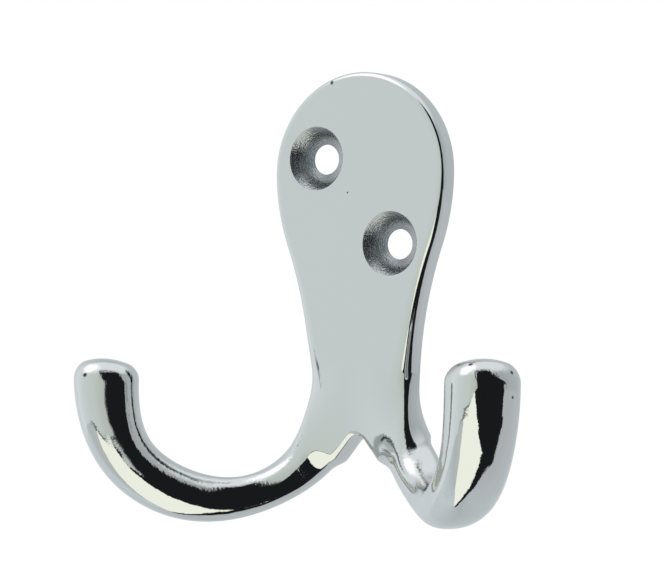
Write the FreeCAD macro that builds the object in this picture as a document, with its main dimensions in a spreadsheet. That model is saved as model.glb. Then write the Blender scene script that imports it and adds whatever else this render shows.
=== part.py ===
# Double robe hook: one die casting with a flat wall plate, a waisted shank and two upturned arms.
# Frame: origin on the wall plane at the centre of the round head, +X right, +Y into the wall, +Z up.

import FreeCAD, Part
import os
import Sketcher
from math import acos, asin, degrees, radians, sin

os.makedirs("parts", exist_ok=True)
doc = FreeCAD.newDocument("DoubleRobeHook")
V = FreeCAD.Vector

# A line's or arc's points, and a sketch's own axes, by the numbers that constraints use
START, END, CENTRE = range(1, 4)
AXIS_X, AXIS_Z = range(-1, -3, -1)

# Driving sizes in millimetres and degrees
SIZES = [
    ("plate_thick", "3.0", "wall plate, back to front"),
    ("head_radius", "14.6", "round head of the plate"),
    ("shoulder_radius", "31.0", "convex side below the head"),
    ("neck_half", "9.0", "half width of the shank at its narrowest"),
    ("neck_drop", "31.5", "narrowest point below the head's centre"),
    ("flare_radius", "15.0", "concave side from the neck out to the arm"),
    ("foot_below", "6.9", "outer end of the plate's foot below the neck"),
    ("foot_angle", "30.0", "slope of the foot's end, which lies inside the arm"),
    ("notch_below", "6.5", "top of the notch between the arms, below the neck"),
    ("notch_radius", "1.6", "rounding at the top of the notch"),
    ("notch_angle", "42.0", "side of the notch from the upright"),
    ("head_edge", "0.9", "rounding of the front edge round the head"),
    ("neck_edge", "2.2", "rounding of the front edge at the neck and foot"),
    ("notch_edge", "1.4", "rounding of the front edge round the notch"),
    ("screw_bore", "4.5", "clear hole for the screw"),
    ("screw_sink", "9.4", "countersink at the front face"),
    ("sink_angle", "90.0", "included angle of the countersink"),
    ("upper_screw_out", "-7.2", "upper screw from the centre line"),
    ("upper_screw_rise", "2.2", "upper screw above the head's centre"),
    ("lower_screw_out", "5.6", "lower screw from the centre line"),
    ("lower_screw_rise", "-10.4", "lower screw above the head's centre"),
    ("plan_angle", "39.8", "arm's upright plane from the wall"),
    ("root_out", "9.9", "arm's root from the centre line"),
    ("root_front", "2.1", "arm's root in front of the wall"),
    ("reach", "28.6", "tip's centre, along the arm's plane from the root"),
    ("low_below", "16.0", "arm's lowest point below the neck"),
    ("low_bend_share", "0.635", "radius of the bend through the lowest point, over the reach"),
    ("curl_share", "0.51", "radius of the tighter bend up to the tip, over the reach"),
    ("join_angle", "28.7", "where the tighter bend takes over, past the lowest point"),
    ("tip_straight", "5.3", "straight end of the arm"),
    ("tip_round", "2.7", "rounding of the arm's end"),
    ("limb_angle", "66.0", "limb's fall from the level at its first section, inside the plate"),
    ("limb_out", "4.2", "limb's first section from the centre line"),
    ("limb_below", "1.5", "limb's first section below the neck"),
    ("limb_high", "4.2", "half width of the limb's first section"),
    ("limb_sunk", "0.4", "front of the limb's first section behind the plate's front"),
    ("limb_behind", "1.7", "back of the limb's first section, cut off at the wall"),
    ("knee_angle", "60.0", "limb's fall from the level at its second section"),
    ("knee_out", "6.25", "limb's second section from the centre line"),
    ("knee_below", "6.4", "limb's second section below the neck"),
    ("knee_high", "3.9", "half width of the limb's second section"),
    ("knee_proud", "0.8", "front of the limb's second section in front of the plate's front"),
    ("knee_behind", "1.8", "back of the limb's second section, cut off at the wall"),
    ("root_high", "3.15", "arm's half height at the root"),
    ("root_wide", "3.25", "arm's half width at the root"),
    ("low_high", "2.95", "arm's half height at its thinnest"),
    ("low_wide", "3.05", "arm's half width at its thinnest"),
    ("mid_high", "3.75", "arm's half height past its lowest point"),
    ("mid_wide", "4.35", "arm's half width past its lowest point"),
    ("curl_high", "4.1", "arm's half height in the tighter bend"),
    ("curl_wide", "4.8", "arm's half width in the tighter bend"),
    ("tip_high", "4.7", "tip's half height"),
    ("tip_wide", "4.9", "tip's half width"),
    ("corner_share", "0.86", "corner radius of a section over its smaller half size"),
]
sheet = doc.addObject("Spreadsheet::Sheet", "Sizes")
for row, (name, value, meaning) in enumerate(SIZES, 1):
    sheet.set("A%d" % row, name)
    sheet.set("B%d" % row, value)
    sheet.setAlias("B%d" % row, name)
    sheet.set("C%d" % row, meaning)
doc.recompute()


def size(name):
    """Value of one cell of the sheet."""
    return float(sheet.get(name))


def origin_plane(body, role):
    """The body's own origin plane of that role."""
    return [plane for plane in body.Origin.OriginFeatures if plane.Role == role][0]


def wall_sketch(body, name):
    """A sketch on the wall plane: its x is +X, its y is +Z and it faces forward."""
    sketch = body.newObject("Sketcher::SketchObject", name)
    sketch.AttachmentSupport = (origin_plane(body, "XZ_Plane"), [""])
    sketch.MapMode = "FlatFace"
    return sketch


def bind(sketch, name, formula, kind, *targets):
    """A named dimension of the sketch, driven by a formula on the sheet."""
    value = sketch.evalExpression(formula)
    if kind == "Angle":
        value = radians(value)
    index = sketch.addConstraint(Sketcher.Constraint(kind, *targets, value))
    sketch.renameConstraint(index, name)
    sketch.setExpression("Constraints." + name, formula)


def arc(x, z, radius, first, last):
    """Arc that runs from the first to the last angle, in degrees."""
    return Part.ArcOfCircle(Part.Circle(V(x, z, 0), V(0, 0, 1), radius), radians(first), radians(last))


def closed_loop(sketch, kind, pieces):
    """Join the pieces end to start, all the way round."""
    for this, following in zip(pieces, pieces[1:] + pieces[:1]):
        sketch.addConstraint(Sketcher.Constraint(kind, this, END, following, START))


# Half of the plate, right of the centre line

plate = doc.addObject("PartDesign::Body", "PlateBody")
outline = wall_sketch(plate, "HalfPlateOutline")
head_r = size("head_radius")
shoulder_r = size("shoulder_radius")
neck_x = size("neck_half")
neck_z = -size("neck_drop")
flare_r = size("flare_radius")
foot_z = neck_z - size("foot_below")
notch_z = neck_z - size("notch_below")
notch_r = size("notch_radius")
head = outline.addGeometry(arc(0, 0, head_r, 0, 90))
shoulder = outline.addGeometry(arc(head_r - shoulder_r, 0, shoulder_r, -20, 0))
waist = outline.addGeometry(arc(neck_x + 2 * shoulder_r, neck_z, 2 * shoulder_r, 160, 180))
flare_turn = degrees(asin((neck_z - foot_z) / flare_r))
flare = outline.addGeometry(arc(neck_x + flare_r, neck_z, flare_r, 180, 180 + flare_turn))
foot_x = neck_x + 2.0
foot = outline.addGeometry(Part.LineSegment(V(foot_x, foot_z, 0), V(foot_x - 6.0, foot_z - 3.5, 0)))
side = outline.addGeometry(Part.LineSegment(V(foot_x - 6.0, foot_z - 3.5, 0), V(1.0, notch_z - 0.5, 0)))
notch = outline.addGeometry(arc(0, notch_z - notch_r, notch_r, 50, 90))
axis = outline.addGeometry(Part.LineSegment(V(0, notch_z, 0), V(0, head_r, 0)))
outline.addConstraint([
    Sketcher.Constraint("Coincident", head, CENTRE, AXIS_X, START),
    Sketcher.Constraint("PointOnObject", head, START, AXIS_X),
    Sketcher.Constraint("PointOnObject", shoulder, CENTRE, AXIS_X),
    Sketcher.Constraint("Coincident", head, START, shoulder, END),
    Sketcher.Constraint("Tangent", shoulder, START, waist, START),
    Sketcher.Constraint("Horizontal", waist, CENTRE, waist, END),
    Sketcher.Constraint("Horizontal", flare, CENTRE, flare, START),
    Sketcher.Constraint("Coincident", waist, END, flare, START),
    Sketcher.Constraint("Coincident", flare, END, foot, START),
    Sketcher.Constraint("Coincident", foot, END, side, START),
    Sketcher.Constraint("Tangent", side, END, notch, START),
    Sketcher.Constraint("PointOnObject", notch, CENTRE, AXIS_Z),
    Sketcher.Constraint("PointOnObject", notch, END, AXIS_Z),
    Sketcher.Constraint("Coincident", notch, END, axis, START),
    Sketcher.Constraint("Coincident", head, END, axis, END),
    Sketcher.Constraint("Vertical", axis),
])
bind(outline, "head_r", "Sizes.head_radius", "Radius", head)
bind(outline, "shoulder_r", "Sizes.shoulder_radius", "Radius", shoulder)
bind(outline, "neck_x", "Sizes.neck_half", "DistanceX", AXIS_X, START, waist, END)
bind(outline, "neck_z", "Sizes.neck_drop", "DistanceY", waist, END, AXIS_X, START)
bind(outline, "flare_r", "Sizes.flare_radius", "Radius", flare)
bind(outline, "foot_z", "Sizes.foot_below", "DistanceY", flare, END, waist, END)
bind(outline, "foot_slope", "Sizes.foot_angle - 180", "Angle", foot)
bind(outline, "notch_r", "Sizes.notch_radius", "Radius", notch)
bind(outline, "notch_z", "Sizes.notch_below", "DistanceY", notch, END, waist, END)
bind(outline, "notch_slope", "90 + Sizes.notch_angle", "Angle", side)

blank = plate.newObject("PartDesign::Pad", "HalfPlate")
blank.Profile = outline
blank.setExpression("Length", "Sizes.plate_thick")
doc.recompute()
whole_plate = plate.newObject("PartDesign::Mirrored", "WholePlate")
whole_plate.Originals = [blank]
whole_plate.MirrorPlane = (origin_plane(plate, "YZ_Plane"), [""])
plate.Tip = whole_plate
doc.recompute()


# Front edge of the plate: a small rounding round the head that grows down to the neck

def front_edges(geometry):
    """Numbers of the two front edges, right and left, that one line of the outline makes."""
    line = outline.Geometry[geometry]
    middle = line.value((line.FirstParameter + line.LastParameter) / 2)
    points = [V(side_of * middle.x, -size("plate_thick"), middle.y) for side_of in (1, -1)]
    return [number for number, edge in enumerate(plate.Shape.Edges, 1)
            if any(edge.distToShape(Part.Vertex(point))[0] < 1e-4 for point in points)]


def outer_round(z):
    """Rounding of the plate's outer front edge at this height."""
    share = min(max(z / neck_z, 0), 1)
    return size("head_edge") + (size("neck_edge") - size("head_edge")) * share


rounded_plate = doc.addObject("Part::Fillet", "RoundedPlate")
rounded_plate.Base = plate
rounds = []
first_edge = plate.Shape.Edges[front_edges(head)[0] - 1]
first_side = first_edge.CenterOfMass.x > 0
first_rises = first_edge.lastVertex(True).Z > first_edge.firstVertex(True).Z
for geometry in (head, shoulder, waist, flare):
    for number in front_edges(geometry):
        edge = plate.Shape.Edges[number - 1]
        low, high = sorted(vertex.Z for vertex in edge.Vertexes)
        # The rounding runs over the head as one chain, up one side of the plate and down the other
        rises = ((edge.CenterOfMass.x > 0) == first_side) == first_rises
        ends = (low, high) if rises else (high, low)
        rounds.append((number, outer_round(ends[0]), outer_round(ends[1])))
for geometry in (side, notch):
    rounds += [(number, size("notch_edge"), size("notch_edge")) for number in front_edges(geometry)]
rounded_plate.Edges = rounds
doc.recompute()


# Path of one arm, in an upright plane turned away from the wall: a wide bend, then a tighter one

arm = doc.addObject("PartDesign::Body", "ArmBody")
path = wall_sketch(arm, "ArmPath")
path.setExpression("AttachmentOffset", "placement(vector(Sizes.root_out; 0; Sizes.root_front); "
                   "rotation(0; -Sizes.plan_angle; 0))")
reach = size("reach")
low_r = size("low_bend_share") * reach
curl_r = size("curl_share") * reach
low_x = reach - curl_r - (low_r - curl_r) * sin(radians(size("join_angle")))
low_z = neck_z - size("low_below") + low_r
root_turn = 180 + degrees(acos(low_x / low_r))
join_turn = 270 + size("join_angle")
low_bend = path.addGeometry(arc(low_x, low_z, low_r, root_turn, join_turn))
curl = path.addGeometry(arc(reach - curl_r, low_z, curl_r, join_turn, 360))
path.addConstraint([
    Sketcher.Constraint("PointOnObject", low_bend, START, AXIS_Z),
    Sketcher.Constraint("Tangent", low_bend, END, curl, START),
    Sketcher.Constraint("Horizontal", curl, CENTRE, curl, END),
])
bind(path, "low_r", "Sizes.low_bend_share * Sizes.reach", "Radius", low_bend)
bind(path, "low_x", "Sizes.reach * (1 - Sizes.curl_share - (Sizes.low_bend_share - Sizes.curl_share)"
     " * sin(Sizes.join_angle))", "DistanceX", AXIS_X, START, low_bend, CENTRE)
bind(path, "low_z", "Sizes.neck_drop + Sizes.low_below - Sizes.low_bend_share * Sizes.reach",
     "DistanceY", low_bend, CENTRE, AXIS_X, START)
bind(path, "curl_r", "Sizes.curl_share * Sizes.reach", "Radius", curl)
bind(path, "reach", "Sizes.reach", "DistanceX", AXIS_X, START, curl, END)
doc.recompute()


# Rounded sections of the arm

def rounded_section(name, half_high, half_wide):
    """A section with four equal round corners, its x in the arm's plane and its y across it."""
    sketch = arm.newObject("Sketcher::SketchObject", name)
    half_x = sketch.evalExpression(half_high)
    half_y = sketch.evalExpression(half_wide)
    corner = size("corner_share") * min(half_x, half_y)
    flat_x = half_x - corner
    flat_y = half_y - corner
    outline = []
    for turn in range(4):
        flat, reach, across = (flat_y, half_x, flat_x) if turn % 2 == 0 else (flat_x, half_y, flat_y)
        turned = FreeCAD.Rotation(V(0, 0, 1), 90 * turn)
        centre = turned.multVec(V(across, flat, 0))
        outline += [
            sketch.addGeometry(Part.LineSegment(turned.multVec(V(reach, -flat, 0)),
                                                turned.multVec(V(reach, flat, 0)))),
            sketch.addGeometry(arc(centre.x, centre.y, corner, 90 * turn, 90 * turn + 90)),
        ]
    right, corner_1, top, corner_2, left, corner_3, bottom, corner_4 = outline
    closed_loop(sketch, "Tangent", outline)
    sketch.addConstraint([
        Sketcher.Constraint("Vertical", right),
        Sketcher.Constraint("Horizontal", top),
        Sketcher.Constraint("Vertical", left),
        Sketcher.Constraint("Horizontal", bottom),
        Sketcher.Constraint("Equal", corner_1, corner_2),
        Sketcher.Constraint("Equal", corner_2, corner_3),
        Sketcher.Constraint("Symmetric", corner_1, CENTRE, corner_3, CENTRE, AXIS_X, START),
    ])
    bind(sketch, "high", "2 * (%s)" % half_high, "DistanceX", left, START, right, START)
    bind(sketch, "wide", "2 * (%s)" % half_wide, "DistanceY", bottom, END, top, START)
    bind(sketch, "corner", "Sizes.corner_share * min(%s; %s)" % (half_high, half_wide), "Radius", corner_1)
    return sketch


def limb_section(name, out, below, fall, half_high, front, behind):
    """A section across the limb, square to the wall, from its front to its back inside the wall."""
    sketch = rounded_section(name, half_high, "(%s + %s) / 2" % (front, behind))
    sketch.AttachmentSupport = (origin_plane(arm, "XZ_Plane"), [""])
    sketch.MapMode = "FlatFace"
    sketch.setExpression("AttachmentOffset", "placement(vector(%s; -Sizes.neck_drop - %s; (%s - %s) / 2); "
                         "rotation(-90 - %s; 0; 90))" % (out, below, front, behind, fall))
    return sketch


def path_section(name, bend, share, half_high, half_wide):
    """A section square to the arm's path, at a share of one of its two bends."""
    sketch = rounded_section(name, half_high, half_wide)
    sketch.AttachmentSupport = (path, [bend])
    sketch.MapMode = "FrenetNB"
    sketch.MapPathParameter = share
    return sketch


sections = [
    limb_section("LimbSection", "Sizes.limb_out", "Sizes.limb_below", "Sizes.limb_angle",
                 "Sizes.limb_high", "(Sizes.plate_thick - Sizes.limb_sunk)", "Sizes.limb_behind"),
    limb_section("KneeSection", "Sizes.knee_out", "Sizes.knee_below", "Sizes.knee_angle",
                 "Sizes.knee_high", "(Sizes.plate_thick + Sizes.knee_proud)", "Sizes.knee_behind"),
    path_section("RootSection", "Edge1", 0.0, "Sizes.root_high", "Sizes.root_wide"),
    path_section("LowSection", "Edge1", 0.42, "Sizes.low_high", "Sizes.low_wide"),
    path_section("MidSection", "Edge1", 0.84, "Sizes.mid_high", "Sizes.mid_wide"),
    path_section("CurlSection", "Edge2", 0.39, "Sizes.curl_high", "Sizes.curl_wide"),
    path_section("RiseSection", "Edge2", 0.68, "(Sizes.curl_high + Sizes.tip_high) / 2",
                 "(Sizes.curl_wide + Sizes.tip_wide) / 2"),
    path_section("TipLeadSection", "Edge2", 0.92, "Sizes.tip_high", "Sizes.tip_wide"),
    path_section("TipSection", "Edge2", 1.0, "Sizes.tip_high", "Sizes.tip_wide"),
]
doc.recompute()
sweep = arm.newObject("PartDesign::AdditiveLoft", "ArmLoft")
sweep.Profile = sections[0]
sweep.Sections = sections[1:]
doc.recompute()


# Straight, round-edged end of the arm

straight = arm.newObject("PartDesign::Pad", "StraightTip")
straight.Profile = sections[-1]
straight.Reversed = True
straight.setExpression("Length", "Sizes.tip_straight")
doc.recompute()


def end_edges(shape):
    """Names of the edges round the flat end of the arm."""
    end_z = sections[-1].Placement.Base.z + size("tip_straight")
    return ["Edge%d" % number for number, edge in enumerate(shape.Edges, 1)
            if all(abs(vertex.Point.z - end_z) < 1e-4 for vertex in edge.Vertexes)]


blunt = arm.newObject("PartDesign::Fillet", "RoundedTip")
blunt.Base = (straight, end_edges(straight.Shape))
blunt.setExpression("Radius", "Sizes.tip_round")
doc.recompute()


# The arm's root is flat where it lies on the wall

wall = wall_sketch(arm, "WallFace")
far_out = "(Sizes.root_out + Sizes.reach + Sizes.tip_wide)"
far_x = wall.evalExpression(far_out)
corners = [V(-far_x, -2 * far_x, 0), V(far_x, -2 * far_x, 0), V(far_x, 0, 0), V(-far_x, 0, 0)]
frame = [wall.addGeometry(Part.LineSegment(this, following))
         for this, following in zip(corners, corners[1:] + corners[:1])]
closed_loop(wall, "Coincident", frame)
wall.addConstraint([
    Sketcher.Constraint("Horizontal", frame[0]),
    Sketcher.Constraint("Vertical", frame[1]),
    Sketcher.Constraint("Vertical", frame[3]),
    Sketcher.Constraint("PointOnObject", frame[2], START, AXIS_X),
    Sketcher.Constraint("Symmetric", frame[2], START, frame[2], END, AXIS_X, START),
])
bind(wall, "width", "2 * " + far_out, "DistanceX", frame[0], START, frame[0], END)
bind(wall, "drop", "2 * " + far_out, "DistanceY", frame[1], START, frame[1], END)
flat_root = arm.newObject("PartDesign::Pocket", "FlatRoot")
flat_root.Profile = wall
flat_root.Type = "ThroughAll"
doc.recompute()
if flat_root.Shape.Volume >= blunt.Shape.Volume:
    raise RuntimeError("the wall face cuts nothing off the arm")


# The left arm mirrors the right one, and both grow out of the plate

left_arm = doc.addObject("Part::Mirroring", "LeftArm")
left_arm.Source = arm
left_arm.Normal = V(1, 0, 0)

rough = doc.addObject("Part::MultiFuse", "RoughCasting")
rough.Shapes = [rounded_plate, arm, left_arm]
rough.Refine = True


# Countersunk screw holes

def screw_hole(label, out, rise):
    """Cutter for one countersunk hole through the plate."""
    place = "placement(vector(Sizes.%s; 0; Sizes.%s); rotation(0; 0; 90))" % (out, rise)
    bore = doc.addObject("Part::Cylinder", label + "Bore")
    bore.setExpression("Radius", "Sizes.screw_bore / 2")
    bore.setExpression("Height", "Sizes.plate_thick")
    bore.setExpression("Placement", place)
    sink = doc.addObject("Part::Cone", label + "Sink")
    depth = "(Sizes.screw_sink - Sizes.screw_bore) / 2 / tan(Sizes.sink_angle / 2)"
    sink.setExpression("Radius1", "Sizes.screw_bore / 2")
    sink.setExpression("Radius2", "Sizes.screw_sink / 2")
    sink.setExpression("Height", depth)
    sink.setExpression("Placement", "placement(vector(Sizes.%s; %s - Sizes.plate_thick; Sizes.%s); "
                       "rotation(0; 0; 90))" % (out, depth, rise))
    return [bore, sink]


holes = doc.addObject("Part::MultiFuse", "ScrewHoles")
holes.Shapes = (screw_hole("Upper", "upper_screw_out", "upper_screw_rise")
                + screw_hole("Lower", "lower_screw_out", "lower_screw_rise"))
casting = doc.addObject("Part::Cut", "HookCasting")
casting.Label = "hook_casting"
casting.Base = rough
casting.Tool = holes
doc.recompute()

for item in doc.Objects:
    if "Invalid" in item.State or "Error" in item.State:
        raise RuntimeError("%s failed: %s" % (item.Label, item.State))
if casting.Shape.isNull() or not casting.Shape.isValid() or len(casting.Shape.Solids) != 1:
    raise RuntimeError("%s is not one valid solid" % casting.Label)
if casting.Shape.Volume < rounded_plate.Shape.Volume + arm.Shape.Volume:
    raise RuntimeError("the plate or an arm is missing from the casting")
casting.Shape.exportStep("parts/%s.step" % casting.Label)
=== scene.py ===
from math import acos, cos, hypot, pi, radians, sin, sqrt, tan

import bmesh
import bpy
import numpy as np
from mathutils import Matrix, Vector


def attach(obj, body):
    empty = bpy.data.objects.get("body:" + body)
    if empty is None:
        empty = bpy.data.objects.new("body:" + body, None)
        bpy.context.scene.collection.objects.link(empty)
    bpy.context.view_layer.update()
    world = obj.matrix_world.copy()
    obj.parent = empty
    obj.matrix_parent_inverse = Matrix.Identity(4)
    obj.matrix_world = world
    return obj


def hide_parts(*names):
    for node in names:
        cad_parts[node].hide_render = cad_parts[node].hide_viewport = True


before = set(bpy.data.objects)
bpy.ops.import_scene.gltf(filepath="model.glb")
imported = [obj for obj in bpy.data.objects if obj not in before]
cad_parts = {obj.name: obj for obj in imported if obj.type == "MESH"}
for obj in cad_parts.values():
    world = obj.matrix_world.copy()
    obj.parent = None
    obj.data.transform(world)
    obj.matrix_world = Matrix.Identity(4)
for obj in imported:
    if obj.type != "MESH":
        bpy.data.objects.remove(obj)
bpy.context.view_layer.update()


# The casting. One zinc die casting: a flat wall plate with a round head and a waisted shank, and two
# arms that leave the shank's foot, sweep out and forward and turn up to thick, flat-topped tips.
# Its sizes are in millimetres, and front is the distance in front of the wall.

MM = 0.001
PLATE_THICK = 3.0
HEAD_RADIUS = 14.6
SHOULDER_RADIUS = 31.0
NECK_HALF = 9.0
NECK_Z = -31.5
FLARE_RADIUS = 15.0
NOTCH_Z = -38.0
NOTCH_RADIUS = 1.6
NOTCH_ANGLE = radians(42)
FOOT_Z = -37.6
FOOT_ANGLE = radians(33)
HEAD_EDGE = 0.9
NECK_EDGE = 2.3
FOOT_EDGE = 4.6
NOTCH_EDGE = 0.5
SWELL_Z = -22.0
WAIST_RADIUS = (((SHOULDER_RADIUS - HEAD_RADIUS + NECK_HALF) ** 2 + NECK_Z ** 2 - SHOULDER_RADIUS ** 2)
                / (2 * (HEAD_RADIUS - NECK_HALF)))


def round_corner(a, b, radius):
    """Distance to what lies inside both, with the edge between them rounded."""
    over_a = np.maximum(a + radius, 0)
    over_b = np.maximum(b + radius, 0)
    return np.minimum(np.maximum(a, b) + radius, 0) + np.hypot(over_a, over_b) - radius


def melted(a, b, reach):
    """Distance to what lies inside either, run together where both are nearer than the reach."""
    share = np.maximum(reach - np.abs(a - b), 0) / reach
    return np.minimum(a, b) - share ** 2 * reach / 4


def plate_distance(across, front, z):
    """Distance to the plate, negative inside. The outline's arcs meet on their shared normals."""
    shoulder_x = HEAD_RADIUS - SHOULDER_RADIUS
    waist_x = NECK_HALF + WAIST_RADIUS
    flare_x = NECK_HALF + FLARE_RADIUS
    head = np.hypot(across, z) - HEAD_RADIUS
    shoulder = np.hypot(across - shoulder_x, z) - SHOULDER_RADIUS
    waist = WAIST_RADIUS - np.hypot(across - waist_x, z - NECK_Z)
    flare = FLARE_RADIUS - np.hypot(across - flare_x, z - NECK_Z)
    past_shoulder = (across - shoulder_x) * NECK_Z - z * (waist_x - shoulder_x)
    below_head = np.where(past_shoulder < 0, shoulder, np.where(z > NECK_Z, waist, flare))
    side = np.where(z > 0, head, below_head)

    rise = z - (NOTCH_Z - NOTCH_RADIUS)
    along = across * sin(NOTCH_ANGLE) - rise * cos(NOTCH_ANGLE)
    beside = across * cos(NOTCH_ANGLE) + rise * sin(NOTCH_ANGLE)
    notch = NOTCH_RADIUS - np.where(along < 0, np.hypot(across, rise), beside)

    foot_x = flare_x - sqrt(FLARE_RADIUS ** 2 - (FOOT_Z - NECK_Z) ** 2)
    foot = (across - foot_x) * sin(FOOT_ANGLE) - (z - FOOT_Z) * cos(FOOT_ANGLE)

    # The rounding of the front edge grows evenly from head to neck, then swells smoothly to the foot
    swell = np.clip((z - SWELL_Z) / (FOOT_Z - SWELL_Z), 0, 1)
    edge = (HEAD_EDGE + (NECK_EDGE - HEAD_EDGE) * np.clip(z / NECK_Z, 0, 1)
            + (FOOT_EDGE - NECK_EDGE) * swell ** 2 * (3 - 2 * swell))
    face = front - PLATE_THICK
    body = np.maximum(round_corner(side, face, edge), round_corner(foot, face, NOTCH_EDGE))
    return round_corner(body, notch, NOTCH_EDGE)


# Stations along the arm: across, front, z, half height, half thickness, the turn of the section from
# the wall, and its power, which is 2 for an ellipse and more for squarer. The first two lie in the
# plate. The others give only the last four, and stand on the two bends of the arm's upright plane:
# evenly spaced, with the tip's end straight above the last of them.
PLAN_ANGLE = radians(39.8)
ROOT_ACROSS = 9.92
ROOT_FRONT = 2.10
LOW_OUT = 12.28
LOW_Z = -47.5
LOW_RADIUS = 18.15
CURL_RADIUS = 14.57
BEND_CHANGE = radians(28.7)
TIP_STRAIGHT = 5.3
TIP_EDGE = 1.7
TIP_CROWN = 9.0
LIMB_STATIONS = [(2.76, 1.10, -28.56, 3.20, 0.90, 0.0, 2.3),
                 (6.23, 1.05, -37.90, 3.94, 2.50, radians(26), 2.5)]
BEND_SIZES = [(3.13, 3.27, radians(8), 2.8), (2.95, 3.03, radians(2), 2.4), (3.73, 4.39, 0.0, 2.4),
              (4.11, 4.78, 0.0, 2.6), (4.63, 4.98, 0.0, 2.8), (4.74, 4.85, 0.0, 2.8)]
LOW_START = acos(LOW_OUT / LOW_RADIUS)
LOW_LENGTH = (pi / 2 - LOW_START + BEND_CHANGE) * LOW_RADIUS
BENDS_LENGTH = LOW_LENGTH + (pi / 2 - BEND_CHANGE) * CURL_RADIUS


def on_bends(distance):
    """Place on the arm's two bends: out from the root in the arm's plane, and z."""
    low_z = LOW_Z + LOW_RADIUS
    if distance <= LOW_LENGTH:
        turn = pi + LOW_START + distance / LOW_RADIUS
        return LOW_OUT + LOW_RADIUS * cos(turn), low_z + LOW_RADIUS * sin(turn)
    shift = LOW_RADIUS - CURL_RADIUS
    turn = 1.5 * pi + BEND_CHANGE + (distance - LOW_LENGTH) / CURL_RADIUS
    return (LOW_OUT + shift * sin(BEND_CHANGE) + CURL_RADIUS * cos(turn),
            low_z - shift * cos(BEND_CHANGE) + CURL_RADIUS * sin(turn))


def arm_stations():
    """The stations as rows of one array."""
    rows = list(LIMB_STATIONS)
    last_bend = len(BEND_SIZES) - 2
    for number, (high, thick, twist, power) in enumerate(BEND_SIZES):
        out, z = on_bends(BENDS_LENGTH * min(number, last_bend) / last_bend)
        if number > last_bend:
            z += TIP_STRAIGHT
        rows.append((ROOT_ACROSS + out * cos(PLAN_ANGLE), ROOT_FRONT + out * sin(PLAN_ANGLE), z,
                     high, thick, PLAN_ANGLE + twist, power))
    return np.array(rows)


class SmoothLine:
    """Cubic spline through rows of values, with its two end pieces of one curve with their neighbours."""

    def __init__(self, rows):
        gaps = np.linalg.norm(np.diff(rows[:, :3], axis=0), axis=1)
        self.knots = np.concatenate([[0], np.cumsum(gaps)])
        count = len(rows)
        matrix = np.zeros((count, count))
        known = np.zeros_like(rows)
        rises = np.diff(rows, axis=0) / gaps[:, None]
        for i in range(1, count - 1):
            matrix[i, i - 1:i + 2] = gaps[i - 1], 2 * (gaps[i - 1] + gaps[i]), gaps[i]
            known[i] = 6 * (rises[i] - rises[i - 1])
        matrix[0, :3] = gaps[1], -(gaps[0] + gaps[1]), gaps[0]
        matrix[-1, -3:] = gaps[-1], -(gaps[-2] + gaps[-1]), gaps[-2]
        self.bend = np.linalg.solve(matrix, known)
        self.rows, self.gaps, self.rises = rows, gaps, rises

    def at(self, place):
        """Values, first and second changes at each place along the line."""
        i = np.clip(np.searchsorted(self.knots, place) - 1, 0, len(self.gaps) - 1)
        step = (place - self.knots[i])[:, None]
        gap = self.gaps[i][:, None]
        here, there = self.bend[i], self.bend[i + 1]
        slope = self.rises[i] - gap * (2 * here + there) / 6
        third = (there - here) / gap
        value = self.rows[i] + step * (slope + step * (here / 2 + step * third / 6))
        return value, slope + step * (here + step * third / 2), here + step * third


# The nearest place on the line is looked up among samples and then closed in on along the line
ARM_SAMPLES = 220
POINTS_AT_ONCE = 20000
CLOSING_STEPS = 3
LEAST_STIFFNESS = 0.2
NEAR_NOUGHT = 1e-6
arm_line = SmoothLine(arm_stations())
arm_end = arm_line.knots[-1]
samples = np.linspace(0, arm_end, ARM_SAMPLES)
sample_places = arm_line.at(samples)[0][:, :3]


def nearest_on_arm(points):
    """How far along the arm's centre line each point's nearest place is."""
    near = np.empty(len(points))
    for first in range(0, len(points), POINTS_AT_ONCE):
        some = points[first:first + POINTS_AT_ONCE]
        square = (some ** 2).sum(1)[:, None] - 2 * some @ sample_places.T + (sample_places ** 2).sum(1)
        near[first:first + POINTS_AT_ONCE] = samples[square.argmin(1)]
    for _ in range(CLOSING_STEPS):
        value, slope, bend = arm_line.at(near)
        back_to_line = value[:, :3] - points
        pull = (back_to_line * slope[:, :3]).sum(1)
        stiffness = (slope[:, :3] ** 2).sum(1) + (back_to_line * bend[:, :3]).sum(1)
        near = np.clip(near - pull / np.maximum(stiffness, LEAST_STIFFNESS), 0, arm_end)
    return near


def arm_distance(points):
    """Distance to the right arm from points given as across, front and z."""
    near = nearest_on_arm(points)
    value, slope, _ = arm_line.at(near)
    ahead = slope[:, :3] / np.linalg.norm(slope[:, :3], axis=1)[:, None]
    half_high, half_thick, turn, power = value[:, 3:].T
    level = np.stack([-np.sin(turn), np.cos(turn), np.zeros_like(turn)], 1)
    level -= (level * ahead).sum(1)[:, None] * ahead
    level /= np.linalg.norm(level, axis=1)[:, None]
    away = points - value[:, :3]
    beyond = (away * ahead).sum(1)
    high = (away * np.cross(ahead, level)).sum(1)
    thick = (away * level).sum(1)
    shape = (np.abs(high / half_high) ** power + np.abs(thick / half_thick) ** power) ** (1 / power)
    radius = np.hypot(high, thick)
    wall = np.where(shape > NEAR_NOUGHT, radius * (1 - 1 / np.maximum(shape, NEAR_NOUGHT)), -half_high)
    crown = radius ** 2 / (2 * TIP_CROWN)
    end = np.where(near > arm_end / 2, near - arm_end + beyond + crown, -near - beyond)
    return round_corner(wall, end, TIP_EDGE)


# The arms run into the plate, and into each other, with soft hollows this many millimetres wide
MELT = 2.6


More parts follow.
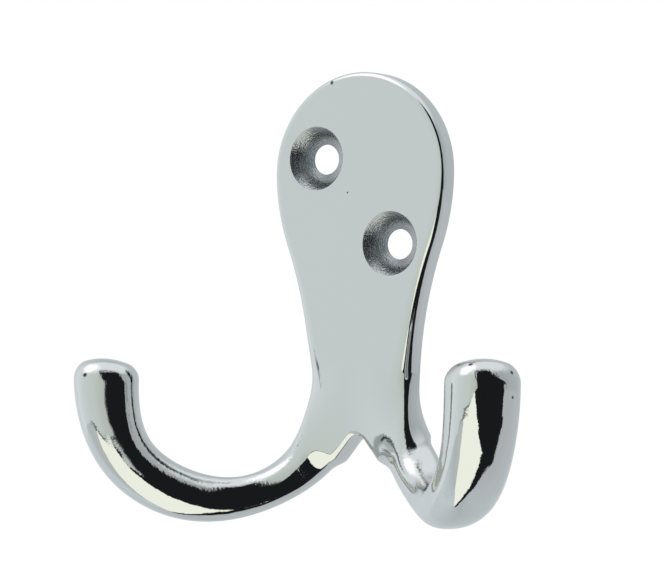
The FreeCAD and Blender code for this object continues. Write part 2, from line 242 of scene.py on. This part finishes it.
def casting_distance(points):
    """Distance to the whole casting from points given as x, y and z."""
    across = np.abs(points[:, 0])
    front = np.maximum(-points[:, 1], 0)
    z = points[:, 2]
    plate = plate_distance(across, front, z)
    right_arm = arm_distance(np.stack([across, front, z], 1))
    left_arm = arm_distance(np.stack([-across, front, z], 1))
    return melted(plate, melted(right_arm, left_arm, MELT), MELT)


# The skin is found in a box of small cells. The distance is taken at one corner in COARSE along each
# axis first, and then at every corner that lies near the surface.
COARSE = 4
NEAR_SURFACE = 1.9


def surface_mesh(distance, low, high, step):
    """Quads on the surface where the distance is nought: one corner in each cell that it crosses."""
    counts = np.ceil((np.array(high) - low) / (step * COARSE)).astype(int) * COARSE
    axes = [low[k] + step * np.arange(counts[k] + 1) for k in range(3)]
    wide = np.stack(np.meshgrid(*[axis[::COARSE] for axis in axes], indexing="ij"), -1)
    field = distance(wide.reshape(-1, 3)).reshape(wide.shape[:3])
    for k in range(3):
        field = np.repeat(field, COARSE, axis=k)
    field = field[tuple(slice(0, n + 1) for n in counts)]
    field = np.pad(field, [(COARSE // 2, 0)] * 3, mode="edge")[tuple(slice(0, n + 1) for n in counts)]
    close = np.argwhere(np.abs(field) < step * COARSE * NEAR_SURFACE)
    places = np.stack([axes[k][close[:, k]] for k in range(3)], 1)
    field[tuple(close.T)] = distance(places)

    inside = field < 0
    total = np.zeros(tuple(counts) + (3,))
    crossings = np.zeros(tuple(counts))
    quads = []
    for k in range(3):
        a, b = (k + 1) % 3, (k + 2) % 3
        first = [slice(None)] * 3
        second = [slice(None)] * 3
        first[k] = slice(0, -1)
        second[k] = slice(1, None)
        crossed = inside[tuple(first)] != inside[tuple(second)]
        before, after = field[tuple(first)], field[tuple(second)]
        share = np.where(crossed, before / np.where(crossed, before - after, 1), 0)
        for da in (0, 1):
            for db in (0, 1):
                part = [None] * 3
                part[k] = slice(None)
                part[a] = slice(da, da + counts[a])
                part[b] = slice(db, db + counts[b])
                hit = crossed[tuple(part)]
                crossings += hit
                total[..., k] += np.where(hit, share[tuple(part)], 0)
                total[..., a] += hit * da
                total[..., b] += hit * db
        inner = [slice(None)] * 3
        inner[a] = slice(1, -1)
        inner[b] = slice(1, -1)
        edges = np.argwhere(crossed[tuple(inner)])
        edges[:, a] += 1
        edges[:, b] += 1
        step_a, step_b = np.eye(3, dtype=int)[a], np.eye(3, dtype=int)[b]
        ring = np.stack([edges, edges - step_a, edges - step_a - step_b, edges - step_b], 1)
        outward = inside[tuple(first)][tuple(edges.T)]
        ring[~outward] = ring[~outward][:, ::-1]
        quads.append(ring)
    used = crossings > 0
    number = np.full(tuple(counts), -1)
    number[used] = np.arange(used.sum())
    corner = np.argwhere(used) + total[used] / crossings[used][:, None]
    quads = np.concatenate(quads)
    return np.array(low) + corner * step, number[tuple(np.moveaxis(quads, -1, 0))]


PROBE = 0.01
LEAST_SLOPE = 0.25


def onto_surface(points, distance, times):
    """Steps down the slope of the distance until it is nought."""
    for _ in range(times):
        here = distance(points)
        slope = np.stack([(distance(points + PROBE * axis) - distance(points - PROBE * axis)) / (2 * PROBE)
                          for axis in np.eye(3)], 1)
        points = points - (here / np.maximum((slope ** 2).sum(1), LEAST_SLOPE))[:, None] * slope
    return points


def settle(points, quads, distance, rounds):
    """Evens out the quads and brings every corner onto the surface."""
    edges = np.concatenate([quads[:, [i, (i + 1) % 4]] for i in range(4)])
    both = np.concatenate([edges, edges[:, ::-1]])
    count = np.bincount(both[:, 0], minlength=len(points))
    for _ in range(rounds):
        mean = np.stack([np.bincount(both[:, 0], points[both[:, 1], k], len(points)) for k in range(3)], 1)
        points = (points + mean / count[:, None]) / 2
        points = onto_surface(points, distance, 1)
    return onto_surface(points, distance, 2)


CELL = 0.36
SETTLE_ROUNDS = 3
BOX_LOW = (-40, -28, -53)
BOX_HIGH = (40, 1.5, 17)
corners, faces = surface_mesh(casting_distance, BOX_LOW, BOX_HIGH, CELL)
corners = settle(corners, faces, casting_distance, SETTLE_ROUNDS)
skin = bpy.data.meshes.new("chrome_plated_casting")
skin.from_pydata(corners * MM, [], faces.tolist())
casting = bpy.data.objects.new("chrome_plated_casting", skin)
bpy.context.scene.collection.objects.link(casting)

# The back is flat where it lies on the wall: one face with a sharp border, of far over 1 mm2
BACK_LEAST_AREA = MM ** 2
BACK_LEAN = 0.001


def lies_on_wall(face):
    """Whether a face is the flat back."""
    return abs(face.normal.y - 1) < BACK_LEAN and face.calc_area() > BACK_LEAST_AREA


work = bmesh.new()
work.from_mesh(skin)
bmesh.ops.bisect_plane(work, geom=work.verts[:] + work.edges[:] + work.faces[:], plane_co=(0, 0, 0),
                       plane_no=(0, 1, 0), clear_outer=True)
bmesh.ops.contextual_create(work, geom=[border for border in work.edges if border.is_boundary])
for face in work.faces:
    face.smooth = not lies_on_wall(face)
for border in work.edges:
    border.smooth = not any(lies_on_wall(face) for face in border.link_faces)
work.to_mesh(skin)
work.free()


# Screw holes. Two clear holes for No. 8 screws, drilled through and countersunk from the front, the
# upper one left of the centre line and the lower one right of it. A small rounded lip ends each cone.

SCREW_HOLES = [(-7.2, 2.2), (5.6, -10.4)]
BORE_RADIUS = 2.2
SINK_RADIUS = 4.65
SINK_DEPTH = 2.7
LIP_RADIUS = 0.12
LIP_ANGLES = [135, 125, 115, 105, 97]
LIP_HALF_TURN = radians(22.5)
DRILL_SIDES = 96
DRILL_BEHIND = 1.0
DRILL_ABOVE = 2.0
COLLAR_WIDTH = 0.4
COLLAR_GAP = 0.06


def drill_object(x, z):
    """What a drill takes out: bore, cone and a small rounded lip, turned about the screw's axis."""
    lip_x = SINK_RADIUS + LIP_RADIUS * tan(LIP_HALF_TURN)
    profile = [(BORE_RADIUS, -DRILL_BEHIND), (BORE_RADIUS, PLATE_THICK - SINK_DEPTH)]
    for angle in LIP_ANGLES:
        profile.append((lip_x + LIP_RADIUS * cos(radians(angle)),
                        PLATE_THICK - LIP_RADIUS + LIP_RADIUS * sin(radians(angle))))
    profile.append((lip_x + COLLAR_WIDTH, PLATE_THICK + COLLAR_GAP))
    profile.append((lip_x + COLLAR_WIDTH, PLATE_THICK + DRILL_ABOVE))
    turns = np.arange(DRILL_SIDES) * 2 * pi / DRILL_SIDES
    points = [Vector((x + radius * cos(turn), -front, z + radius * sin(turn))) * MM
              for radius, front in profile for turn in turns]
    sides = []
    for row in range(len(profile) - 1):
        for i in range(DRILL_SIDES):
            j = (i + 1) % DRILL_SIDES
            sides.append((row * DRILL_SIDES + i, row * DRILL_SIDES + j,
                          (row + 1) * DRILL_SIDES + j, (row + 1) * DRILL_SIDES + i))
    sides.append(tuple(range(DRILL_SIDES))[::-1])
    sides.append(tuple((len(profile) - 1) * DRILL_SIDES + i for i in range(DRILL_SIDES)))
    mesh = bpy.data.meshes.new("drill")
    mesh.from_pydata(points, [], sides)
    turned = bmesh.new()
    turned.from_mesh(mesh)
    bmesh.ops.recalc_face_normals(turned, faces=turned.faces)
    for side in turned.faces:
        side.smooth = len(side.verts) == 4
    turned.to_mesh(mesh)
    turned.free()
    made = bpy.data.objects.new("drill", mesh)
    bpy.context.scene.collection.objects.link(made)
    return made


for hole_x, hole_z in SCREW_HOLES:
    drill = drill_object(hole_x, hole_z)
    cut = casting.modifiers.new("hole", "BOOLEAN")
    cut.operation = "DIFFERENCE"
    cut.solver = "EXACT"
    cut.object = drill
    drilled = bpy.data.meshes.new_from_object(casting.evaluated_get(bpy.context.evaluated_depsgraph_get()))
    casting.modifiers.clear()
    casting.data = drilled
    bpy.data.objects.remove(drill)
casting.data.name = "chrome_plated_casting"


# The finish. Bright chrome plated over the polished zinc, which the eye sees as a clear, neutral
# mirror. The casting's faint orange peel shows under it on the arms and most on their upward faces,
# and a few small flaws break it: a pit in the plate, and specks and nicks at the head and the tips.

def linear(code):
    """Linear colour from an sRGB hex value."""
    channels = [int(code[i:i + 2], 16) / 255 for i in (1, 3, 5)]
    return tuple(c / 12.92 if c <= 0.04045 else ((c + 0.055) / 1.055) ** 2.4 for c in channels) + (1,)


def node(tree, kind, inputs=(), **settings):
    """Adds a node: its settings, and for each input by number or name a value or a socket to link."""
    made = tree.nodes.new(kind)
    for name, value in settings.items():
        setattr(made, name, value)
    for name, given in dict(inputs if isinstance(inputs, dict) else enumerate(inputs)).items():
        if isinstance(given, bpy.types.NodeSocket):
            tree.links.new(given, made.inputs[name])
        elif given is not None:
            made.inputs[name].default_value = given
    return made.outputs[0]


CHROME_COLOUR = "#C4C6C5"
FLAW_COLOUR = "#3A3D40"
CHROME_ROUGHNESS = 0.04
RIPPLE_SIZE = 0.45
WAVE_SIZE = 4.0
PEEL_DEPTH = 0.035
PEEL_LEAST = 0.15
PEEL_FRONT = 4.5
TOP_START = 0.05
TOP_FULL = 0.35
FLAWS = [((-1.69, -3.0, -2.88), 0.16), ((37.0, -20.9, -32.4), 0.24), ((36.9, -20.85, -29.0), 0.34),
         ((32.5, -24.5, -27.9), 0.42), ((-4.6, -2.9, 13.2), 0.36), ((-31.9, -25.7, -29.6), 0.40)]
FLAW_RAGGED = 1 / 2.5
FLAW_CORE = 1 / 1.4
FLAW_BORDER = 1 / 0.8

chrome = bpy.data.materials.new("polished_chrome_plate")
chrome.use_nodes = True
plating = chrome.node_tree
shader = plating.nodes["Principled BSDF"]
shader.inputs["Metallic"].default_value = 1
shader.inputs["Roughness"].default_value = CHROME_ROUGHNESS
spot = plating.nodes.new("ShaderNodeTexCoord").outputs["Object"]

# Orange peel: small ripples with broader waves under them, none on the plate's polished front
depth = node(plating, "ShaderNodeSeparateXYZ", [spot]).node.outputs[1]
normal = plating.nodes.new("ShaderNodeNewGeometry").outputs["Normal"]
upward = node(plating, "ShaderNodeSeparateXYZ", [normal]).node.outputs[2]
on_arms = node(plating, "ShaderNodeMapRange", [depth, -PLATE_THICK * MM, -PEEL_FRONT * MM], clamp=True)
on_top = node(plating, "ShaderNodeMapRange", [upward, TOP_START, TOP_FULL], clamp=True)
peel = node(plating, "ShaderNodeMath", [on_arms, on_top], operation="MULTIPLY")
peel = node(plating, "ShaderNodeMath", [peel, 1 - PEEL_LEAST, PEEL_LEAST], operation="MULTIPLY_ADD")
peel = node(plating, "ShaderNodeMath", [peel, on_arms], operation="MULTIPLY")
ripples = node(plating, "ShaderNodeTexNoise",
               {"Vector": spot, "Scale": 1 / (RIPPLE_SIZE * MM), "Detail": 2.0, "Roughness": 0.6})
waves = node(plating, "ShaderNodeTexNoise",
             {"Vector": spot, "Scale": 1 / (WAVE_SIZE * MM), "Detail": 1.0, "Roughness": 0.5})
rippled = node(plating, "ShaderNodeBump", {"Strength": peel, "Distance": PEEL_DEPTH * MM, "Height": ripples})
waved = node(plating, "ShaderNodeBump",
             {"Strength": on_arms, "Distance": 3 * PEEL_DEPTH * MM, "Height": waves, "Normal": rippled})
plating.links.new(waved, shader.inputs["Normal"])

# Each flaw is a dark spot of its size, with a border that the ripples make ragged
unmarked = 1.0
for place, size in FLAWS:
    centre = tuple(Vector(place) * MM)
    away = node(plating, "ShaderNodeVectorMath", [spot, centre], operation="DISTANCE").node.outputs["Value"]
    away = node(plating, "ShaderNodeMath", [ripples, size * MM * FLAW_RAGGED, away], operation="MULTIPLY_ADD")
    around = node(plating, "ShaderNodeMapRange", [away, size * MM * FLAW_CORE, size * MM * FLAW_BORDER],
                  clamp=True)
    unmarked = node(plating, "ShaderNodeMath", [unmarked, around], operation="MINIMUM")
plated = node(plating, "ShaderNodeMixRGB", [unmarked, linear(FLAW_COLOUR), linear(CHROME_COLOUR)])
plating.links.new(plated, shader.inputs["Base Color"])

# The cones are plated too, but over the drill's fine rings, which blur what a cone mirrors along its
# slope and break it into crumbs. Each ring runs round the nearer screw's axis.
CONE_ROUGHNESS = 0.14
RING_GAP = 0.22
RING_DARK = "#8A8E91"
RING_PALE = "#A8ACAE"
CRUMB_SIZE = 0.35
CRUMB_DEPTH = 0.1
BACK_MARGIN = 0.01

drilled_chrome = bpy.data.materials.new("chrome_plate_over_drill_rings")
drilled_chrome.use_nodes = True
cone = drilled_chrome.node_tree
cone_shader = cone.nodes["Principled BSDF"]
cone_shader.inputs["Metallic"].default_value = 1
cone_shader.inputs["Roughness"].default_value = CONE_ROUGHNESS
cone_shader.inputs["Anisotropic"].default_value = 1.0
cone_spot = cone.nodes.new("ShaderNodeTexCoord").outputs["Object"]
cone_z = node(cone, "ShaderNodeSeparateXYZ", [cone_spot]).node.outputs[2]
(upper_x, upper_z), (lower_x, lower_z) = SCREW_HOLES
is_upper = node(cone, "ShaderNodeMath", [cone_z, (upper_z + lower_z) / 2 * MM], operation="GREATER_THAN")
axis_x = node(cone, "ShaderNodeMath", [is_upper, (upper_x - lower_x) * MM, lower_x * MM],
              operation="MULTIPLY_ADD")
axis_z = node(cone, "ShaderNodeMath", [is_upper, (upper_z - lower_z) * MM, lower_z * MM],
              operation="MULTIPLY_ADD")
axis_place = node(cone, "ShaderNodeCombineXYZ", [axis_x, None, axis_z])
from_axis = node(cone, "ShaderNodeVectorMath", [cone_spot, axis_place], operation="SUBTRACT")
outward = node(cone, "ShaderNodeVectorMath", [from_axis, (1, 0, 1)], operation="MULTIPLY")
cone.links.new(outward, cone_shader.inputs["Tangent"])
# A wave texture at scale 1 has its rings pi / 10 apart
rings = node(cone, "ShaderNodeTexWave",
             {"Vector": outward, "Scale": pi / 10 / (RING_GAP * MM), "Distortion": 1.5, "Detail": 2.0,
              "Detail Scale": 0.25}, wave_type="RINGS", rings_direction="SPHERICAL")
ring_tone = node(cone, "ShaderNodeMixRGB", [rings, linear(RING_DARK), linear(RING_PALE)])
cone.links.new(ring_tone, cone_shader.inputs["Base Color"])
crumbs = node(cone, "ShaderNodeTexNoise",
              {"Vector": cone_spot, "Scale": 1 / (CRUMB_SIZE * MM), "Detail": 3.0, "Roughness": 0.6})
rough = node(cone, "ShaderNodeBump", {"Strength": 0.8, "Distance": CRUMB_DEPTH * MM, "Height": crumbs})
cone.links.new(rough, cone_shader.inputs["Normal"])

casting.data.materials.clear()
casting.data.materials.append(chrome)
casting.data.materials.append(drilled_chrome)
for face in casting.data.polygons:
    x, y, z = face.center / MM
    near_axis = min(hypot(x - hole_x, z - hole_z) for hole_x, hole_z in SCREW_HOLES)
    if near_axis < SINK_RADIUS and -PLATE_THICK < y < -BACK_MARGIN:
        face.material_index = 1

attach(casting, "root")
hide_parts("hook_casting")


# The floor. White paper, well below the hook, that keeps its soft shadow. The chrome doesn't mirror
# it, as the tent that follows has the table that the chrome shows. Its sizes are in metres.

FLOOR_HALF = 1.2
FLOOR_Z = -0.2
PAPER_COLOUR = "#F4F4F2"
PAPER_ROUGHNESS = 0.9
floor_mesh = bpy.data.meshes.new("floor")
floor_mesh.from_pydata([(-FLOOR_HALF, -FLOOR_HALF, FLOOR_Z), (FLOOR_HALF, -FLOOR_HALF, FLOOR_Z),
                        (FLOOR_HALF, FLOOR_HALF, FLOOR_Z), (-FLOOR_HALF, FLOOR_HALF, FLOOR_Z)],
                       [], [(0, 1, 2, 3)])
floor = bpy.data.objects.new("floor", floor_mesh)
bpy.context.scene.collection.objects.link(floor)
paper = bpy.data.materials.new("white_paper_floor")
paper.use_nodes = True
paper_shader = paper.node_tree.nodes["Principled BSDF"]
paper_shader.inputs["Base Color"].default_value = linear(PAPER_COLOUR)
paper_shader.inputs["Roughness"].default_value = PAPER_ROUGHNESS
floor_mesh.materials.append(paper)
floor.visible_glossy = False


# The light tent, as bright metal mirrors it: pale cloth all round, a gray table with a cream card on
# it, a dark opening to the camera's right and a soft lamp to its left. Heights and bearings are in
# degrees, and bearings are counted from the camera to the viewer's right.

CAMERA_TURN = radians(33.584)
# Colours are written as chrome shows them, so the strength makes up for what chrome takes away
TENT_STRENGTH = 1.8
TENT_WALLS = [(-180, "#A0A5A8"), (-150, "#B8BDC0"), (-125, "#CED2D4"), (-90, "#C6CCCC"), (-62, "#C1C6C7"),
              (-25, "#BCC3BE"), (0, "#B2B8B2"), (52, "#9CA0A3"), (66, "#A2A7AA"), (100, "#A6ABAE"),
              (125, "#AEB3B6"), (150, "#AAAFB2"), (180, "#A0A5A8")]
TENT_TABLE = [(-180, "#A8ADB0"), (-150, "#B4B9BC"), (-120, "#BEC4C8"), (-85, "#ABB1B3"), (-60, "#B2B6B2"),
              (0, "#A9ADAC"), (55, "#A8ACAE"), (100, "#AEB2B6"), (150, "#B0B5B8"), (180, "#A8ADB0")]

world = bpy.data.worlds.new("light_tent")
bpy.context.scene.world = world
world.use_nodes = True
tent = world.node_tree
tent.nodes.clear()
looking = node(tent, "ShaderNodeTexCoord")
from_camera = node(tent, "ShaderNodeVectorRotate", {"Vector": looking, "Angle": -CAMERA_TURN},
                   rotation_type="Z_AXIS")
to_right, to_back, to_top = node(tent, "ShaderNodeSeparateXYZ", [from_camera]).node.outputs
to_front = node(tent, "ShaderNodeMath", [to_back, -1.0], operation="MULTIPLY")
bearing = node(tent, "ShaderNodeMath", [to_right, to_front], operation="ARCTAN2")
bearing = node(tent, "ShaderNodeMath", [bearing, 180 / pi], operation="MULTIPLY")
height = node(tent, "ShaderNodeMath", [to_top], operation="ARCSINE")
height = node(tent, "ShaderNodeMath", [height, 180 / pi], operation="MULTIPLY")
round_share = node(tent, "ShaderNodeMath", [bearing, 1 / 360, 0.5], operation="MULTIPLY_ADD")


def all_round(colours):
    """Colours round the horizon, from bearing -180 to 180."""
    ramp = node(tent, "ShaderNodeValToRGB", [round_share])
    stops = ramp.node.color_ramp.elements
    while len(stops) < len(colours):
        stops.new(0.5)
    for stop, (stop_bearing, code) in zip(stops, colours):
        stop.position = stop_bearing / 360 + 0.5
        stop.color = linear(code)
    return ramp


# The table's far edge rises from left to right: -17 degrees at the left, -9.5 straight ahead, then -6
TABLE_SLANT = 0.35
TABLE_AHEAD = -9.5
TABLE_LOWEST = -17.0
TABLE_HIGHEST = -6.0
TABLE_BLUR = 0.4
table_edge = node(tent, "ShaderNodeMath", [bearing, TABLE_SLANT, TABLE_AHEAD], operation="MULTIPLY_ADD")
table_edge = node(tent, "ShaderNodeMath", [table_edge, TABLE_LOWEST], operation="MAXIMUM")
table_edge = node(tent, "ShaderNodeMath", [table_edge, TABLE_HIGHEST], operation="MINIMUM")
below_edge = node(tent, "ShaderNodeMath", [table_edge, height], operation="SUBTRACT")
on_table = node(tent, "ShaderNodeMapRange", [below_edge, -TABLE_BLUR, TABLE_BLUR], clamp=True)

# Places on the table are counted right and front of the point under the hook, in units of how far the
# table lies below it. The card's right edge runs toward the camera and bends in at the front, its far
# edge runs under the hook, and its left edge is cut on a slant. Each in_ value is over nought inside.
CARD_COLOUR = "#EAECE0"
CARD_RIGHT = 0.56
CARD_BEND = 0.80
CARD_BEND_SLANT = -0.16
CARD_FAR = 0.05
CARD_FAR_SLANT = -1.3
CARD_LEFT = 0.6
CARD_LEFT_SLANT = 1.2
CARD_BLUR = 0.012
LEAST_DEPTH = 0.001
below_hook = node(tent, "ShaderNodeMath", [to_top, -1.0], operation="MULTIPLY")
below_hook = node(tent, "ShaderNodeMath", [below_hook, LEAST_DEPTH], operation="MAXIMUM")
table_right = node(tent, "ShaderNodeMath", [to_right, below_hook], operation="DIVIDE")
table_front = node(tent, "ShaderNodeMath", [to_front, below_hook], operation="DIVIDE")
in_right = node(tent, "ShaderNodeMath", [CARD_RIGHT, table_right], operation="SUBTRACT")
in_bend = node(tent, "ShaderNodeMath", [table_front, CARD_BEND_SLANT, CARD_BEND], operation="MULTIPLY_ADD")
in_bend = node(tent, "ShaderNodeMath", [in_bend, table_right], operation="SUBTRACT")
in_far = node(tent, "ShaderNodeMath", [table_right, CARD_FAR_SLANT, table_front], operation="MULTIPLY_ADD")
in_far = node(tent, "ShaderNodeMath", [in_far, CARD_FAR], operation="ADD")
in_left = node(tent, "ShaderNodeMath", [table_right, CARD_LEFT_SLANT, table_front], operation="MULTIPLY_ADD")
in_left = node(tent, "ShaderNodeMath", [in_left, CARD_LEFT], operation="ADD")
in_card = node(tent, "ShaderNodeMath", [in_right, in_bend], operation="MINIMUM")
in_card = node(tent, "ShaderNodeMath", [in_card, in_far], operation="MINIMUM")
in_card = node(tent, "ShaderNodeMath", [in_card, in_left], operation="MINIMUM")
on_card = node(tent, "ShaderNodeMapRange", [in_card, -CARD_BLUR, CARD_BLUR], clamp=True)
table = node(tent, "ShaderNodeMixRGB", [on_card, all_round(TENT_TABLE), linear(CARD_COLOUR)])
cloth = node(tent, "ShaderNodeMixRGB", [on_table, all_round(TENT_WALLS), table])

# A thin dark seam where the cloth meets the table, from just left of the camera out to the left
SEAM_COLOUR = "#1A1C1C"
SEAM_SHARE = 0.8
SEAM_HALF = 1.2
SEAM_CORE = 0.5
SEAM_LEFT_END = -75.0
SEAM_LEFT_FULL = -50.0
SEAM_RIGHT_FULL = -20.0
SEAM_RIGHT_END = -8.0
off_seam = node(tent, "ShaderNodeMath", [below_edge], operation="ABSOLUTE")
seam = node(tent, "ShaderNodeMapRange", [off_seam, SEAM_HALF, SEAM_CORE, 0.0, SEAM_SHARE], clamp=True)
seam_left = node(tent, "ShaderNodeMapRange", [bearing, SEAM_LEFT_END, SEAM_LEFT_FULL], clamp=True)
seam_right = node(tent, "ShaderNodeMapRange", [bearing, SEAM_RIGHT_END, SEAM_RIGHT_FULL], clamp=True)
seam = node(tent, "ShaderNodeMath", [seam, seam_left], operation="MULTIPLY")
seam = node(tent, "ShaderNodeMath", [seam, seam_right], operation="MULTIPLY")
cloth = node(tent, "ShaderNodeMixRGB", [seam, cloth, linear(SEAM_COLOUR)])

# The roof is paler than the walls
ROOF_COLOUR = "#D4D8DB"
ROOF_START = 35.0
ROOF_FULL = 60.0
roof = node(tent, "ShaderNodeMapRange", [height, ROOF_START, ROOF_FULL], clamp=True,
            interpolation_type="SMOOTHSTEP")
cloth = node(tent, "ShaderNodeMixRGB", [roof, cloth, linear(ROOF_COLOUR)])

# The opening is dark from bearing 6 to 50 at the horizon, leans left higher up, and ends at the roof
OPENING_COLOUR = "#17191B"
OPENING_LEFT = 6.0
OPENING_LEFT_LEAN = 0.3
OPENING_RIGHT = 50.0
OPENING_RIGHT_LEAN = -0.9
OPENING_LEAST_RIGHT = 40.0
OPENING_BLUR = 1.5
OPENING_TOP = 66.0
OPENING_TOP_START = 52.0
from_left = node(tent, "ShaderNodeMath", [height, OPENING_LEFT_LEAN, -OPENING_LEFT],
                 operation="MULTIPLY_ADD")
from_left = node(tent, "ShaderNodeMath", [from_left, bearing], operation="ADD")
from_right = node(tent, "ShaderNodeMath", [height, OPENING_RIGHT_LEAN, OPENING_RIGHT],
                  operation="MULTIPLY_ADD")
from_right = node(tent, "ShaderNodeMath", [from_right, OPENING_LEAST_RIGHT], operation="MAXIMUM")
from_right = node(tent, "ShaderNodeMath", [from_right, bearing], operation="SUBTRACT")
upper = node(tent, "ShaderNodeMath", [from_left, from_right], operation="MINIMUM")
upper = node(tent, "ShaderNodeMapRange", [upper, -OPENING_BLUR, OPENING_BLUR], clamp=True)
under_roof = node(tent, "ShaderNodeMapRange", [height, OPENING_TOP, OPENING_TOP_START], clamp=True)
upper = node(tent, "ShaderNodeMath", [upper, under_roof], operation="MULTIPLY")

# On the table it darkens what lies round the card, as far as a line a little beyond the far edge
STRIP_FAR = 0.17
STRIP_FAR_SLANT = -0.9
STRIP_LEAST = 0.12
off_card = node(tent, "ShaderNodeMath", [in_card, -1.0], operation="MULTIPLY")
in_strip = node(tent, "ShaderNodeMath", [table_right, STRIP_FAR_SLANT, table_front],
                operation="MULTIPLY_ADD")
in_strip = node(tent, "ShaderNodeMath", [in_strip, STRIP_FAR], operation="ADD")
by_far_edge = node(tent, "ShaderNodeMath", [in_far, STRIP_LEAST], operation="ADD")
in_strip = node(tent, "ShaderNodeMath", [in_strip, by_far_edge], operation="MAXIMUM")
lower = node(tent, "ShaderNodeMath", [off_card, in_strip], operation="MINIMUM")
lower = node(tent, "ShaderNodeMath", [lower, in_left], operation="MINIMUM")
lower = node(tent, "ShaderNodeMapRange", [lower, -CARD_BLUR, CARD_BLUR], clamp=True)
opening = node(tent, "ShaderNodeMix", {"Factor": on_table, "A": upper, "B": lower})
cloth = node(tent, "ShaderNodeMixRGB", [opening, cloth, linear(OPENING_COLOUR)])

# The soft lamp over the hook's left shoulder, which gives the bright line round the head's edge
LAMP_BEARING = radians(-85)
LAMP_HEIGHT = radians(60)
LAMP_HALF = radians(32)
LAMP_CORE = radians(6)
LAMP_WHITE = (1.1, 1.1, 1.1, 1)
lamp_turn = CAMERA_TURN + LAMP_BEARING
lamp_way = Vector((sin(lamp_turn) * cos(LAMP_HEIGHT), -cos(lamp_turn) * cos(LAMP_HEIGHT), sin(LAMP_HEIGHT)))
toward_lamp = node(tent, "ShaderNodeVectorMath", [looking, lamp_way], operation="DOT_PRODUCT")
glow = node(tent, "ShaderNodeMapRange", [toward_lamp.node.outputs["Value"], cos(LAMP_HALF), cos(LAMP_CORE)],
            clamp=True, interpolation_type="SMOOTHSTEP")
cloth = node(tent, "ShaderNodeMixRGB", [glow, cloth, LAMP_WHITE])

# The camera itself sees plain white behind the hook
seen_plainly = tent.nodes.new("ShaderNodeLightPath").outputs["Is Camera Ray"]
mirrored = node(tent, "ShaderNodeBackground", [cloth, TENT_STRENGTH])
plain = node(tent, "ShaderNodeBackground", [(1, 1, 1, 1), 1.0])
seen = node(tent, "ShaderNodeMixShader", [seen_plainly, mirrored, plain])
tent.links.new(seen, tent.nodes.new("ShaderNodeOutputWorld").inputs[0])


# The same lamp as a light, for the hook's shadow on the paper. The chrome doesn't mirror it, as the
# tent has its glow. Its distance and width are in metres, its power in watts.

LAMP_AWAY = 0.9
LAMP_WIDTH = 0.42
LAMP_POWER = 1.6
lamp_light = bpy.data.lights.new("soft_lamp", "AREA")
lamp_light.shape = "DISK"
lamp_light.size = LAMP_WIDTH
lamp_light.energy = LAMP_POWER
lamp = bpy.data.objects.new("soft_lamp", lamp_light)
bpy.context.scene.collection.objects.link(lamp)
lamp.visible_glossy = False
lamp.location = lamp_way * LAMP_AWAY
lamp.rotation_euler = lamp_way.to_track_quat("Z", "Y").to_euler()


# The camera, at the photograph's angle: to the viewer's right of the hook's front and very little
# below it. The notch's centre on the wall falls on its pixel in the photograph. In millimetres.

PHOTO_WIDTH = 665
PHOTO_HEIGHT = 587
CAMERA_RISE = radians(-1.572)
CAMERA_ROLL = radians(0.405)
CAMERA_DISTANCE = 534.63
PIXELS_PER_MM = 6.89
NOTCH_PLACE = Vector((0, 0, -39.5))
NOTCH_PIXEL = (366.85, 445.24)
SENSOR_WIDTH = 36

back = Vector((sin(CAMERA_TURN) * cos(CAMERA_RISE), -cos(CAMERA_TURN) * cos(CAMERA_RISE), sin(CAMERA_RISE)))
level = Vector((cos(CAMERA_TURN), sin(CAMERA_TURN), 0))
plumb = back.cross(level)
right = level * cos(CAMERA_ROLL) + plumb * sin(CAMERA_ROLL)
up = plumb * cos(CAMERA_ROLL) - level * sin(CAMERA_ROLL)
camera_place = (NOTCH_PLACE + back * CAMERA_DISTANCE
                - right * (NOTCH_PIXEL[0] - PHOTO_WIDTH / 2) / PIXELS_PER_MM
                + up * (NOTCH_PIXEL[1] - PHOTO_HEIGHT / 2) / PIXELS_PER_MM)
lens = bpy.data.cameras.new("camera")
lens.sensor_fit = "HORIZONTAL"
lens.sensor_width = SENSOR_WIDTH
lens.lens = PIXELS_PER_MM * CAMERA_DISTANCE * SENSOR_WIDTH / PHOTO_WIDTH
camera = bpy.data.objects.new("camera", lens)
bpy.context.scene.collection.objects.link(camera)
camera.matrix_world = (Matrix.Translation(camera_place * MM)
                       @ Matrix((right, up, back)).transposed().to_4x4())
bpy.context.scene.camera = camera
bpy.context.scene.view_settings.view_transform = "Standard"
